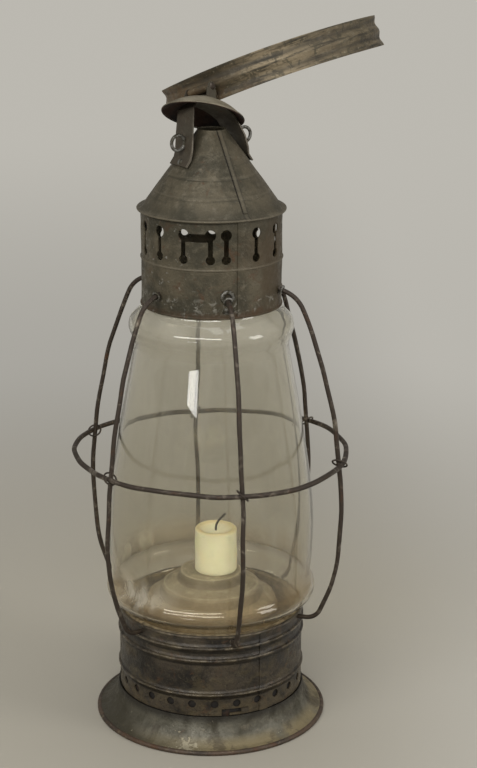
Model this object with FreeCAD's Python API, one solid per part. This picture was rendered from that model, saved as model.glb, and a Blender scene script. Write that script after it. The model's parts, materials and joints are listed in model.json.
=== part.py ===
import FreeCAD, Part
import math
import os

from FreeCAD import Vector

# Candle lantern: tin foot and drum, blown globe in a wire cage, pierced vent band, conical
# hood, tilted smoke cap on a strap, and a fluted ring handle lying over to the back right.
# Millimetres, +Z up, origin on the axis at the floor. Azimuth 0 is the front (-Y), +90 is +X.

# Tin sheet and the foot
SHEET = 0.9
FOOT_RADIUS = 82.5
RIM_WIRE_RADIUS = 1.7
RIM_FLAT_DEPTH = 0.25
LEDGE_Z = 22.0
BODY_GAP = 0.3

# Drum, its beads, air holes and bayonet
DRUM_RADIUS = 65.5
DRUM_TOP_Z = 82.4
DRUM_BEADS_Z = (38.0, 64.0, 73.0)
BEAD_RADIUS = 1.4
AIR_HOLE_COUNT = 26
AIR_HOLE_RADIUS = 2.8
AIR_HOLE_Z = 31.0
AIR_HOLE_AZIMUTH = 3.2
DRUM_SEAM_AZIMUTH = 35.0
NECK_RADIUS = DRUM_RADIUS - SHEET - 0.35
NECK_TOP_Z = 46.0
LUG_AZIMUTHS = (22.0, 202.0)
LUG_WIDTH = 5.0
LUG_Z = (24.35, 26.85)
LUG_REACH = 66.6
TWIST_DEGREES = 12.0

# Candle and what it stands on
CANDLE_X = 3.5
CANDLE_RADIUS = 15.0
CANDLE_BASE_Z = 106.6
CANDLE_TOP_Z = 138.0
PRICKET_RADIUS = 1.5
PRICKET_TOP_Z = 124.0
WICK_RADIUS = 0.8

# Globe: outer outline as (radius, height), from the drum to the vent band
GLOBE_WALL = 2.4
GLOBE_OUTLINE = (
    (61.0, 76.5), (61.3, 82.5), (66.0, 87.0), (72.3, 91.2), (74.2, 95.7), (73.4, 99.8),
    (71.4, 103.0), (70.8, 107.0), (71.3, 113.0), (71.9, 120.0), (72.7, 141.0), (71.6, 163.0),
    (68.4, 188.0), (63.4, 220.0),
    (57.8, 250.0), (54.2, 269.0), (53.6, 275.5), (55.4, 281.5), (57.0, 287.0), (55.9, 292.5),
    (51.4, 297.4), (47.4, 300.6), (46.2, 304.5), (46.2, 311.0),
)

# Vent band and hood
BAND_RADIUS = 48.0
BAND_Z = (302.8, 368.2)
BAND_RIDGE_Z = 336.0
BAND_SEAM_AZIMUTH = 25.0
VENT_TOP_Z = 359.5
VENT_FOOT_Z = 343.0
VENT_TOP_RADIUS = 3.7
VENT_FOOT_RADIUS = 3.1
VENT_NECK = 3.2
VENT_AZIMUTHS = (-22.0, 0.0, 12.5, 39.0, 63.0, 88.0, 112.0, 136.0, 158.0, 180.0, 204.0, 226.0, 248.0,
                 271.0, 293.0, 315.0)
BRIDGED_VENTS = ((-22.0, 0.0), (158.0, 180.0))
HOOD_RADIUS = 51.0
CONE_BASE = (45.5, 373.0)
CONE_TOP = (9.9, 422.0)
CONE_SEAM_AZIMUTH = 30.0
CONE_SEAM_WIDTH = 3.4
SEAM_STEP = 0.55

# Smoke cap, tilted back on its strap
CAP_CENTRE = Vector(-5.9, 0.0, 431.0)
CAP_NORMAL = Vector(0.1205, 0.452, 0.884).normalize()
CAP_RADIUS = 27.6
CAP_RISE = 11.5
STRAP_AZIMUTH = 125.0
STRAP_WIDTH = 20.0
STRAP_THICK = 1.0
STRAP_CLEAR = 0.6
STRAP_FOOT_Z = (399.5, 404.0)
STRAP_RIVET_Z = 401.8
EAR_RING_RADIUS = 5.1
EAR_WIRE_RADIUS = 1.15
LEFT_EAR = (-26.9, 415.0)
RIGHT_EAR = (26.4, 416.0)

# Ring handle: hinge axis, direction from the hinge to the ring's centre, fluted band
HINGE_AXIS = Vector(0.737, -0.583, 0.343).normalize()
HANDLE_LEAN = Vector(0.598, 0.798, 0.110).normalize()
HANDLE_RADIUS = 79.0
HANDLE_WIDTH = 21.5
HANDLE_SHEET = 1.2
FLUTE_DEPTH = 1.5
FLUTE_POINTS = 13
PIVOT_HEIGHT = 7.4
PIVOT_RADIUS = 1.5
KNUCKLE_RADIUS = 2.6
KNUCKLE_PLAY = 0.06
PIVOT_TO_BAND = 3.6
LEAF_HALF_LENGTH = 9.3
EAR_PLATE_AT = 10.5
EAR_PLATE_THICK = 1.2

# Wire cage
CAGE_AZIMUTHS = (13.5, 72.5, 132.0, 188.0, 243.5, 314.0)
CAGE_WIRE_RADIUS = 1.6
CAGE_ROUTE = ((62.0, 78.0), (78.5, 78.4), (92.0, 112.0), (97.2, 162.0), (87.8, 238.0), (69.5, 294.0),
              (61.5, 311.0), (44.0, 318.0))
CAGE_RING_RADIUS = 95.3
CAGE_RING_WIRE = 1.7
CAGE_RING_Z = 196.0
TIE_RADIUS = 4.75
TIE_WIRE_RADIUS = 0.6
STAPLE_RADIUS = 2.6
STAPLE_WIRE_RADIUS = 0.8

UP = Vector(0, 0, 1)
ORIGIN = Vector(0, 0, 0)


# Helpers

def at(radius, azimuth, z):
    """A point by distance from the axis, azimuth from the front and height."""
    a = math.radians(azimuth)
    return Vector(radius * math.sin(a), -radius * math.cos(a), z)


def outward(azimuth):
    return at(1.0, azimuth, 0.0)


def sideways(azimuth):
    a = math.radians(azimuth)
    return Vector(math.cos(a), math.sin(a), 0)


def in_plane(point):
    return Vector(point[0], 0, point[1])


def smooth_edge(points):
    curve = Part.BSplineCurve()
    curve.interpolate([in_plane(p) for p in points])
    return curve.toShape()


def straight_edges(points):
    return [Part.makeLine(in_plane(a), in_plane(b)) for a, b in zip(points, points[1:])]


def offset_points(points, distance):
    """Points moved to the right of the outline's direction, for the other side of a sheet."""
    moved = []
    for i, (r, z) in enumerate(points):
        before = points[max(i - 1, 0)]
        after = points[min(i + 1, len(points) - 1)]
        dr = after[0] - before[0]
        dz = after[1] - before[1]
        length = math.hypot(dr, dz)
        moved.append((r - distance * dz / length, z + distance * dr / length))
    return moved


def spun(edges):
    face = Part.Face(Part.Wire(Part.__sortEdges__(edges)))
    return face.revolve(ORIGIN, UP, 360)


def spun_outline(points):
    return spun(straight_edges(list(points) + [points[0]]))


def smooth_shell(points, wall):
    inner = offset_points(points, wall)
    ends = straight_edges((points[0], inner[0])) + straight_edges((points[-1], inner[-1]))
    return spun([smooth_edge(points), smooth_edge(inner)] + ends)


def tube(outer, inner, low, high):
    return spun_outline(((inner, low), (outer, low), (outer, high), (inner, high)))


def sheet_box(azimuth, width, low, high, reach):
    """A radial slab from the axis outwards, used to cut one strip out of a ring."""
    box = Part.makeBox(width, reach, high - low, Vector(-width / 2, -reach, low))
    box.rotate(ORIGIN, UP, azimuth)
    return box


def radial_rod(radius, azimuth, z, inner, outer):
    return Part.makeCylinder(radius, outer - inner, at(inner, azimuth, z), outward(azimuth))


def joined(shapes):
    whole = shapes[0]
    if len(shapes) > 1:
        whole = shapes[0].multiFuse(list(shapes[1:]))
    return whole.removeSplitter()


def fillet_path(points, share=0.45):
    """Straight runs joined by tangent arcs, each as large as its two runs allow."""
    edges = []
    start = points[0]
    for before, corner, after in zip(points, points[1:], points[2:]):
        one = (before - corner).normalize()
        two = (after - corner).normalize()
        cut = share * min((before - corner).Length, (after - corner).Length)
        first = corner + one * cut
        last = corner + two * cut
        half_turn = (math.pi - one.getAngle(two)) / 2
        radius = cut / math.tan(half_turn)
        bisector = (one + two).normalize()
        centre = corner + bisector * math.hypot(radius, cut)
        middle = centre - bisector * radius
        edges.append(Part.makeLine(start, first))
        edges.append(Part.Arc(first, middle, last).toShape())
        start = last
    edges.append(Part.makeLine(start, points[-1]))
    return Part.Wire(edges)


def round_wire(points, radius):
    path = fillet_path(points)
    section = Part.Wire(Part.makeCircle(radius, points[0], points[1] - points[0]))
    return path.makePipeShell([section], True, False)


def ring(radius, wire_radius, centre, axis):
    return Part.makeTorus(radius, wire_radius, centre, axis)


def save(name, shape):
    shape.exportStep("parts/" + name + ".step")


# Foot: flared skirt, wired rim, inner neck with lugs, tray and pricket

def foot_rim_wire():
    hoop = ring(FOOT_RADIUS - RIM_WIRE_RADIUS, RIM_WIRE_RADIUS,
                Vector(0, 0, RIM_WIRE_RADIUS - RIM_FLAT_DEPTH), UP)
    below = Part.makeCylinder(2 * FOOT_RADIUS, 10, Vector(0, 0, -10))
    return hoop.cut(below)


def foot_skirt(rim):
    bell = ((80.5, 2.7), (76.0, 4.0), (71.6, 8.0), (68.4, 14.5), (66.6, LEDGE_Z))
    inner = offset_points(bell, SHEET)
    inner[-1] = (bell[-1][0] - SHEET, LEDGE_Z - SHEET)
    lip = straight_edges((bell[0], inner[0]))
    ledge = straight_edges((bell[-1], (NECK_RADIUS, LEDGE_Z), (NECK_RADIUS, LEDGE_Z - SHEET), inner[-1]))
    return spun([smooth_edge(bell), smooth_edge(inner)] + lip + ledge).cut(rim)


def foot_neck():
    return tube(NECK_RADIUS, NECK_RADIUS - SHEET, LEDGE_Z - 4.0, NECK_TOP_Z)


def bayonet_lugs():
    collar = tube(LUG_REACH, NECK_RADIUS, *LUG_Z)
    lugs = [collar.common(sheet_box(a, LUG_WIDTH, 0, 40, 90)) for a in LUG_AZIMUTHS]
    return Part.makeCompound([s for lug in lugs for s in lug.Solids])


def candle_tray():
    top = CANDLE_BASE_Z - BODY_GAP
    steps = ((NECK_RADIUS, NECK_TOP_Z), (NECK_RADIUS, NECK_TOP_Z + SHEET), (51.0, 50.0), (47.5, 82.0),
             (45.5, 86.5), (37.0, 89.5), (35.5, 95.0), (33.0, 96.5), (24.0, 99.5), (22.0, top - 0.6),
             (20.5, top), (0.0, top))
    under = ((0.0, top - SHEET), (19.9, top - SHEET), (21.2, 99.0), (32.4, 95.4), (34.4, 94.0),
             (36.2, 88.7), (44.8, 85.8), (46.6, 81.6), (50.2, 49.2), (NECK_RADIUS - 2.0, NECK_TOP_Z))
    return spun_outline(steps + under)


def candle_pricket():
    base = CANDLE_BASE_Z - BODY_GAP
    shank = Part.makeCylinder(PRICKET_RADIUS, PRICKET_TOP_Z - base - 5, Vector(CANDLE_X, 0, base))
    point = Part.makeCone(PRICKET_RADIUS, 0.3, 5, Vector(CANDLE_X, 0, PRICKET_TOP_Z - 5))
    return joined([shank, point])


# Candle stub and wick

def candle():
    r = CANDLE_RADIUS
    top = CANDLE_TOP_Z
    outline = ((0, CANDLE_BASE_Z), (r - 0.4, CANDLE_BASE_Z), (r, CANDLE_BASE_Z + 0.8), (r, top - 1.2),
               (r - 0.8, top - 0.2), (r - 2.2, top), (r - 5.0, top - 1.4), (4.0, top - 2.4), (0, top - 2.4))
    body = spun_outline(outline)
    hole = Part.makeCylinder(PRICKET_RADIUS + 0.35, PRICKET_TOP_Z + 1 - CANDLE_BASE_Z,
                             Vector(0, 0, CANDLE_BASE_Z))
    wick_hole = Part.makeCylinder(WICK_RADIUS, 4.0, Vector(0, 0, top - 6.0))
    stub = body.cut(hole).cut(wick_hole)
    stub.translate(Vector(CANDLE_X, 0, 0))
    return stub


def wick():
    foot = Vector(CANDLE_X, 0, CANDLE_TOP_Z - 6.0)
    route = [foot, foot + Vector(0, 0, 7.5), foot + Vector(2.4, -0.4, 12.0), foot + Vector(6.5, -1.0, 16.5)]
    return round_wire(route, WICK_RADIUS)


# Drum with beads, holes and the bayonet slots

def base_drum(cage_wires):
    low = LEDGE_Z + BODY_GAP
    wall = tube(DRUM_RADIUS, DRUM_RADIUS - SHEET, low, DRUM_TOP_Z)
    beads = [ring(DRUM_RADIUS - 0.2, BEAD_RADIUS, Vector(0, 0, z), UP) for z in DRUM_BEADS_Z]
    beads.append(ring(DRUM_RADIUS - 0.2, BEAD_RADIUS * 0.8, Vector(0, 0, DRUM_TOP_Z - 0.9), UP))
    core = Part.makeCylinder(DRUM_RADIUS - SHEET, DRUM_TOP_Z)
    beads = [b.cut(core) for b in beads]
    lap = tube(DRUM_RADIUS + SEAM_STEP, DRUM_RADIUS - 0.2, low, DRUM_TOP_Z)
    lap = lap.common(sheet_box(DRUM_SEAM_AZIMUTH, 7.0, 0, 90, 90))
    drum = joined([wall, lap] + beads)
    cuts = []
    for i in range(AIR_HOLE_COUNT):
        azimuth = AIR_HOLE_AZIMUTH + i * 360.0 / AIR_HOLE_COUNT
        cuts.append(radial_rod(AIR_HOLE_RADIUS, azimuth, AIR_HOLE_Z, DRUM_RADIUS - 3, DRUM_RADIUS + 3))
    half = math.degrees((LUG_WIDTH / 2 + 0.35) / DRUM_RADIUS)
    for lug in LUG_AZIMUTHS:
        first = lug - TWIST_DEGREES - half
        slot = slot_ring(first, lug + half, LUG_Z[0] - 0.35, LUG_Z[1] + 0.35)
        entry = slot_ring(first, lug - TWIST_DEGREES + half, low - 1, LUG_Z[1] + 0.35)
        cuts.extend([slot, entry])
    return drum.cut(Part.makeCompound(cuts)).cut(Part.makeCompound(cage_wires))


def slot_ring(first, last, low, high):
    """The part of a ring round the drum wall between two azimuths."""
    points = (in_plane((DRUM_RADIUS - 4, low)), in_plane((DRUM_RADIUS + 4, low)),
              in_plane((DRUM_RADIUS + 4, high)), in_plane((DRUM_RADIUS - 4, high)))
    face = Part.Face(Part.makePolygon(points + points[:1]))
    face.rotate(ORIGIN, UP, first - 90)
    return face.revolve(ORIGIN, UP, last - first)


# Globe and the plaster it is set in

def globe_solid():
    closing = straight_edges((GLOBE_OUTLINE[0], (0, GLOBE_OUTLINE[0][1]), (0, GLOBE_OUTLINE[-1][1]),
                              GLOBE_OUTLINE[-1]))
    return spun([smooth_edge(GLOBE_OUTLINE)] + closing)


def lower_globe_bed(filled, cage_wires):
    bed = tube(DRUM_RADIUS - SHEET, GLOBE_OUTLINE[0][0] - 2, GLOBE_OUTLINE[0][1], DRUM_TOP_Z - 0.4)
    return bed.cut(filled).cut(Part.makeCompound(cage_wires))


def upper_globe_bed(filled):
    top = GLOBE_OUTLINE[-1][1]
    bed = tube(BAND_RADIUS - SHEET, GLOBE_OUTLINE[-1][0] - 2, BAND_Z[0] + 2.5, top)
    return bed.cut(filled)


# Vent band and hood

def vent(azimuth):
    inner = BAND_RADIUS - 4
    outer = BAND_RADIUS + 4
    top = radial_rod(VENT_TOP_RADIUS, azimuth, VENT_TOP_Z, inner, outer)
    foot = radial_rod(VENT_FOOT_RADIUS, azimuth, VENT_FOOT_Z, inner, outer)
    neck = Part.makeBox(VENT_NECK, 8, VENT_TOP_Z - VENT_FOOT_Z, Vector(-VENT_NECK / 2, -outer, VENT_FOOT_Z))
    neck.rotate(ORIGIN, UP, azimuth)
    return [top, foot, neck]


def vent_bridge(first, last):
    low = VENT_TOP_Z - 4.5
    bar = tube(BAND_RADIUS + 4, BAND_RADIUS - 4, low, VENT_TOP_Z + 1.0)
    width = 2 * BAND_RADIUS * math.sin(math.radians((last - first) / 2))
    return bar.common(sheet_box((first + last) / 2, width, 0, 400, 90))


def vent_band(cage_wires):
    low, high = BAND_Z
    wall = tube(BAND_RADIUS, BAND_RADIUS - SHEET, low, high)
    core = Part.makeCylinder(BAND_RADIUS - SHEET, high)
    edge = ring(BAND_RADIUS - 0.2, 0.9, Vector(0, 0, low + 0.9), UP).cut(core)
    ridge = ring(BAND_RADIUS - 0.4, 1.1, Vector(0, 0, BAND_RIDGE_Z), UP).cut(core)
    lap = tube(BAND_RADIUS + SEAM_STEP, BAND_RADIUS - 0.2, low, high)
    lap = lap.common(sheet_box(BAND_SEAM_AZIMUTH, 5.5, 0, 400, 90))
    band = joined([wall, lap, edge, ridge])
    cuts = [piece for azimuth in VENT_AZIMUTHS for piece in vent(azimuth)]
    cuts.extend(vent_bridge(*pair) for pair in BRIDGED_VENTS)
    return band.cut(Part.makeCompound(cuts)).cut(Part.makeCompound(cage_wires))


def cone_radius(z):
    return CONE_BASE[0] + (z - CONE_BASE[1]) * (CONE_TOP[0] - CONE_BASE[0]) / (CONE_TOP[1] - CONE_BASE[1])


CONE_OUT = Vector(CONE_TOP[1] - CONE_BASE[1], 0, CONE_BASE[0] - CONE_TOP[0]).normalize()


def hood_cone(rivets):
    low = BAND_Z[1]
    lip = ring(HOOD_RADIUS - 0.8, 0.8, Vector(0, 0, low + 0.8), UP)
    outer = ((HOOD_RADIUS - 0.8, low + 1.5), (48.3, low + 2.0), CONE_BASE, CONE_TOP)
    inner = ((CONE_TOP[0] - SHEET, CONE_TOP[1] - 0.4), (CONE_BASE[0] - 1.1, CONE_BASE[1] - 0.9),
             (BAND_RADIUS - SHEET, low), (HOOD_RADIUS - 0.8, low + 0.1))
    cone = spun_outline(outer + inner)
    top_ring = ring(CONE_TOP[0] - 0.4, 0.7, Vector(0, 0, CONE_TOP[1] - 0.2), UP)
    step = SEAM_STEP * 1.2
    seam = spun_outline((CONE_BASE, (CONE_BASE[0] + step, CONE_BASE[1]), (CONE_TOP[0] + step, CONE_TOP[1]),
                         (CONE_TOP[0] - 0.3, CONE_TOP[1])))
    seam = seam.common(sheet_box(CONE_SEAM_AZIMUTH, CONE_SEAM_WIDTH, 0, 500, 90))
    return joined([cone, lip, top_ring, seam]).cut(rivets)


# Smoke cap on its strap

CAP_SPHERE = (CAP_RADIUS ** 2 + CAP_RISE ** 2) / (2 * CAP_RISE)
CAP_SPHERE_CENTRE = CAP_CENTRE - CAP_NORMAL * (CAP_SPHERE - CAP_RISE)
STRAP_OUT = outward(STRAP_AZIMUTH)
STRAP_ACROSS = UP.cross(STRAP_OUT)
CAP_ALONG = (STRAP_OUT - CAP_NORMAL * STRAP_OUT.dot(CAP_NORMAL)).normalize()
CAP_ACROSS = CAP_NORMAL.cross(CAP_ALONG)


def cap_point(along, rise):
    return CAP_CENTRE + CAP_ALONG * along + CAP_NORMAL * rise


def strap_point(out, z, across=0.0):
    return STRAP_OUT * out + STRAP_ACROSS * across + Vector(0, 0, z)


def foot_point(side, z):
    """A place on the strap's foot, half its thickness clear of the cone."""
    clear = STRAP_THICK / 2 + 0.1
    return strap_point(side * (cone_radius(z) + clear * CONE_OUT.x), z + clear * CONE_OUT.z)


def strap_crown_rise(along):
    corner = CAP_SPHERE - SHEET
    return (math.sqrt(corner ** 2 - along ** 2 - (STRAP_WIDTH / 2) ** 2)
            - (CAP_SPHERE - CAP_RISE) - STRAP_THICK / 2 - STRAP_CLEAR)


def strap_stations():
    """Centre line of the strap with the direction across it, from left foot to right foot."""
    level = STRAP_ACROSS
    low, high = STRAP_FOOT_Z
    left = [(foot_point(-1, low), level), (foot_point(-1, high), level), (strap_point(-22.2, 409.5), level),
            (strap_point(-20.6, 421.0, 1.6), (level * 2 + CAP_ACROSS).normalize()),
            (cap_point(-13.5, strap_crown_rise(-13.5) - 5.0), CAP_ACROSS),
            (cap_point(-11.0, strap_crown_rise(-11.0) - 1.4), CAP_ACROSS)]
    crown = [(cap_point(a, strap_crown_rise(a)), CAP_ACROSS) for a in (-7, 0, 7, 13, 17)]
    right = [(cap_point(21.0, strap_crown_rise(21.0) - 1.2), CAP_ACROSS),
             (strap_point(20.6, 416.5, 0.6), (level * 2 + CAP_ACROSS).normalize()),
             (strap_point(23.0, 409.0), level), (foot_point(1, high), level), (foot_point(1, low), level)]
    return left + crown + right


def cap_strap(rivets):
    stations = strap_stations()
    sections = []
    for i, (centre, across) in enumerate(stations):
        before = stations[max(i - 1, 0)][0]
        after = stations[min(i + 1, len(stations) - 1)][0]
        forward = (after - before).normalize()
        side = (across - forward * across.dot(forward)).normalize() * (STRAP_WIDTH / 2)
        thick = forward.cross(side).normalize() * (STRAP_THICK / 2)
        corners = [centre + side + thick, centre - side + thick, centre - side - thick, centre + side - thick]
        sections.append(Part.makePolygon(corners + corners[:1]))
    return Part.makeLoft(sections, True, True).cut(rivets)


def strap_rivets():
    solids = []
    for side in (-1, 1):
        axis = STRAP_OUT * side * CONE_OUT.x + UP * CONE_OUT.z
        seat = STRAP_OUT * side * cone_radius(STRAP_RIVET_Z) + Vector(0, 0, STRAP_RIVET_Z)
        shank = Part.makeCylinder(1.2, 3.4, seat - axis * 1.9, axis)
        outer_head = Part.makeCone(2.2, 1.3, 0.8, seat + axis * (STRAP_THICK + 0.1), axis)
        inner_head = Part.makeCylinder(2.2, 0.8, seat - axis * 2.2, axis)
        solids.append(joined([shank, outer_head, inner_head]))
    return Part.makeCompound(solids)


def in_cap(shape):
    """Moves a shape made about the origin, +Z up, to the cap's rim centre and tilt."""
    turn = FreeCAD.Rotation(CAP_ALONG, CAP_ACROSS, CAP_NORMAL, "ZXY")
    shape.Placement = FreeCAD.Placement(CAP_CENTRE, turn)
    return shape


def smoke_cap():
    drop = Vector(0, 0, CAP_RISE - CAP_SPHERE)
    dome = Part.makeSphere(CAP_SPHERE, drop).cut(Part.makeSphere(CAP_SPHERE - SHEET, drop))
    dome = dome.common(Part.makeCylinder(CAP_RADIUS, 2 * CAP_RISE))
    edge = ring(CAP_RADIUS - 0.3, 0.75, ORIGIN, UP)
    return in_cap(joined([dome, edge]))


def cap_solder_pad():
    rise = strap_crown_rise(0) + STRAP_THICK / 2
    pad = Part.makeCylinder(5.0, 6.0, Vector(0, 0, rise))
    pad = pad.common(Part.makeSphere(CAP_SPHERE - SHEET, Vector(0, 0, CAP_RISE - CAP_SPHERE)))
    return in_cap(pad)


def bail_ear(place, strap):
    loop = ring(EAR_RING_RADIUS, EAR_WIRE_RADIUS, strap_point(*place), STRAP_ACROSS)
    pieces = loop.cut(strap).Solids
    return max(pieces, key=lambda s: s.Volume)


# Ring handle: saddle and pivot wire on the cap, hinged leaf on the band

SADDLE_UP = (CAP_NORMAL - HINGE_AXIS * CAP_NORMAL.dot(HINGE_AXIS)).normalize()
SADDLE_ACROSS = SADDLE_UP.cross(HINGE_AXIS)
PIVOT = CAP_SPHERE_CENTRE + SADDLE_UP * (CAP_SPHERE + PIVOT_HEIGHT)
LEAN_DIRECTION = (HANDLE_LEAN - HINGE_AXIS * HANDLE_LEAN.dot(HINGE_AXIS)).normalize()
HANDLE_NORMAL = HINGE_AXIS.cross(LEAN_DIRECTION)
HANDLE_CENTRE = PIVOT + LEAN_DIRECTION * (HANDLE_RADIUS + PIVOT_TO_BAND)


def in_saddle(shape):
    """From a frame with X on the hinge, Z up from the cap, origin on the pivot."""
    turn = FreeCAD.Rotation(HINGE_AXIS, SADDLE_ACROSS, SADDLE_UP, "ZXY")
    shape.Placement = FreeCAD.Placement(PIVOT, turn)
    return shape


def in_handle(shape):
    """From a frame with the ring's axis as Z, its centre as origin and the hinge at -Y."""
    turn = FreeCAD.Rotation(HINGE_AXIS, LEAN_DIRECTION, HANDLE_NORMAL, "ZXY")
    shape.Placement = FreeCAD.Placement(HANDLE_CENTRE, turn)
    return shape


def handle_saddle():
    dome_centre = Vector(0, 0, -PIVOT_HEIGHT - CAP_SPHERE)
    dome = Part.makeSphere(CAP_SPHERE, dome_centre)
    reach = EAR_PLATE_AT + EAR_PLATE_THICK / 2
    base = Part.makeSphere(CAP_SPHERE + SHEET, dome_centre)
    base = base.common(Part.makeBox(2 * reach, 11, 10, Vector(-reach, -5.5, -PIVOT_HEIGHT - 8)))
    pieces = [base]
    for side in (-1, 1):
        x = side * EAR_PLATE_AT - EAR_PLATE_THICK / 2
        plate = Part.makeBox(EAR_PLATE_THICK, 8, PIVOT_HEIGHT + 4, Vector(x, -4, -PIVOT_HEIGHT - 4))
        crown = Part.makeCylinder(3.2, EAR_PLATE_THICK, Vector(x, 0, 0), Vector(1, 0, 0))
        upper = Part.makeBox(EAR_PLATE_THICK, 8, 3, Vector(x, -4, -1.5))
        pieces.extend([plate.cut(upper), crown])
    hole = Part.makeCylinder(PIVOT_RADIUS, 40, Vector(-20, 0, 0), Vector(1, 0, 0))
    return in_saddle(joined(pieces).cut(dome).cut(hole))


def handle_pivot_wire():
    outside = EAR_PLATE_AT + EAR_PLATE_THICK / 2
    along = Vector(1, 0, 0)
    rod = Part.makeCylinder(PIVOT_RADIUS, 2 * outside, Vector(-outside, 0, 0), along)
    heads = [Part.makeCone(2.5, 1.7, 1.1, Vector(outside, 0, 0), along),
             Part.makeCone(2.5, 1.7, 1.1, Vector(-outside, 0, 0), along * -1)]
    return in_saddle(joined([rod] + heads))


def flute(across):
    """Band radius at a place across its width: ridges at both edges and the middle."""
    return HANDLE_RADIUS - FLUTE_DEPTH / 2 * (1 - math.cos(4 * math.pi * across / HANDLE_WIDTH))


def ring_handle(rivets):
    places = [HANDLE_WIDTH * (i / (FLUTE_POINTS - 1) - 0.5) for i in range(FLUTE_POINTS)]
    outer = [(flute(w), w) for w in places]
    inner = [(flute(w) - HANDLE_SHEET, w) for w in places]
    ends = straight_edges((outer[0], inner[0])) + straight_edges((outer[-1], inner[-1]))
    band = spun([smooth_edge(outer), smooth_edge(inner)] + ends)
    return in_handle(band).cut(rivets)


def handle_leaf(rivets):
    plate = tube(HANDLE_RADIUS + 1.2, HANDLE_RADIUS + 0.05, -8.5, 3.0)
    plate = plate.common(Part.makeBox(2 * LEAF_HALF_LENGTH, 20, 40,
                                      Vector(-LEAF_HALF_LENGTH, -HANDLE_RADIUS - 10, -20)))
    along = Vector(1, 0, 0)
    start = Vector(-LEAF_HALF_LENGTH, -HANDLE_RADIUS - PIVOT_TO_BAND, 0)
    knuckle = Part.makeCylinder(KNUCKLE_RADIUS, 2 * LEAF_HALF_LENGTH, start, along)
    bore = Part.makeCylinder(PIVOT_RADIUS + KNUCKLE_PLAY, 2 * LEAF_HALF_LENGTH, start, along)
    return in_handle(joined([plate, knuckle]).cut(bore)).cut(rivets)


def handle_rivets():
    solids = []
    for x in (-5.5, 5.5):
        azimuth = math.degrees(x / HANDLE_RADIUS)
        z = -5.4
        inside = HANDLE_RADIUS - FLUTE_DEPTH - HANDLE_SHEET
        shank = radial_rod(1.3, azimuth, z, inside - 0.4, HANDLE_RADIUS + 1.3)
        head = radial_rod(2.3, azimuth, z, HANDLE_RADIUS + 1.22, HANDLE_RADIUS + 1.9)
        tail = radial_rod(2.2, azimuth, z, inside - 0.9, inside - 0.15)
        solids.append(in_handle(joined([shank, head, tail])))
    return Part.makeCompound(solids)


# Wire cage

def cage_wire(azimuth):
    return round_wire([at(r, azimuth, z) for r, z in CAGE_ROUTE], CAGE_WIRE_RADIUS)


def trimmed_cage_wire(wire):
    drum_core = Part.makeCylinder(DRUM_RADIUS - SHEET, 200)
    band_core = Part.makeCylinder(BAND_RADIUS - SHEET, 200, Vector(0, 0, 250))
    return max(wire.cut(drum_core).cut(band_core).Solids, key=lambda s: s.Volume)


def guard_ring_ties():
    middle = CAGE_RING_RADIUS - CAGE_RING_WIRE
    loops = []
    for azimuth in CAGE_AZIMUTHS:
        slant = sideways(azimuth) + UP
        loops.append(ring(TIE_RADIUS, TIE_WIRE_RADIUS, at(middle, azimuth, CAGE_RING_Z), slant))
    return Part.makeCompound(loops)


def guard_staples(band):
    last = in_plane(CAGE_ROUTE[-1]) - in_plane(CAGE_ROUTE[-2])
    place = in_plane(CAGE_ROUTE[-2]) + last * ((CAGE_ROUTE[-2][0] - BAND_RADIUS - 2.2) / -last.x)
    loops = []
    for azimuth in CAGE_AZIMUTHS:
        axis = outward(azimuth) * last.x + UP * last.z
        loop = ring(STAPLE_RADIUS, STAPLE_WIRE_RADIUS, at(place.x, azimuth, place.z), axis)
        loops.append(max(loop.cut(band).Solids, key=lambda s: s.Volume))
    return Part.makeCompound(loops)


def guard_ring(wires):
    hoop = ring(CAGE_RING_RADIUS, CAGE_RING_WIRE, Vector(0, 0, CAGE_RING_Z), UP)
    return hoop.cut(Part.makeCompound(wires))


os.makedirs("parts", exist_ok=True)

rim = foot_rim_wire()
save("foot_rim_wire", rim)
save("foot_skirt", foot_skirt(rim))
save("foot_neck", foot_neck())
save("bayonet_lugs", bayonet_lugs())
save("candle_tray", candle_tray())
save("candle_pricket", candle_pricket())
save("candle", candle())
save("wick", wick())

whole_wires = [cage_wire(a) for a in CAGE_AZIMUTHS]
cage_wires = [trimmed_cage_wire(w) for w in whole_wires]
filled_globe = globe_solid()
vents = vent_band(cage_wires)
save("base_drum", base_drum(cage_wires))
save("lower_globe_bed", lower_globe_bed(filled_globe, cage_wires))
save("globe", smooth_shell(GLOBE_OUTLINE, GLOBE_WALL))
save("upper_globe_bed", upper_globe_bed(filled_globe))
save("vent_band", vents)
for number, wire in enumerate(cage_wires, 1):
    save("guard_wire_%d" % number, wire)
save("guard_ring", guard_ring(cage_wires))
save("guard_ring_ties", guard_ring_ties())
save("guard_staples", guard_staples(vents))

hood_rivets = strap_rivets()
strap = cap_strap(hood_rivets)
save("hood_cone", hood_cone(hood_rivets))
save("cap_strap", strap)
save("strap_rivets", hood_rivets)
save("smoke_cap", smoke_cap())
save("cap_solder_pad", cap_solder_pad())
save("left_bail_ear", bail_ear(LEFT_EAR, strap))
save("right_bail_ear", bail_ear(RIGHT_EAR, strap))

leaf_rivets = handle_rivets()
save("handle_saddle", handle_saddle())
save("handle_pivot_wire", handle_pivot_wire())
save("ring_handle", ring_handle(leaf_rivets))
save("handle_leaf", handle_leaf(leaf_rivets))
save("handle_rivets", leaf_rivets)

print("hinge pivot", PIVOT, "ring centre", HANDLE_CENTRE)
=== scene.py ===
import json
import math

import bmesh
import bpy
from bpy.props import FloatProperty, FloatVectorProperty, IntProperty, PointerProperty
from mathutils import Matrix, Vector, noise


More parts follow.
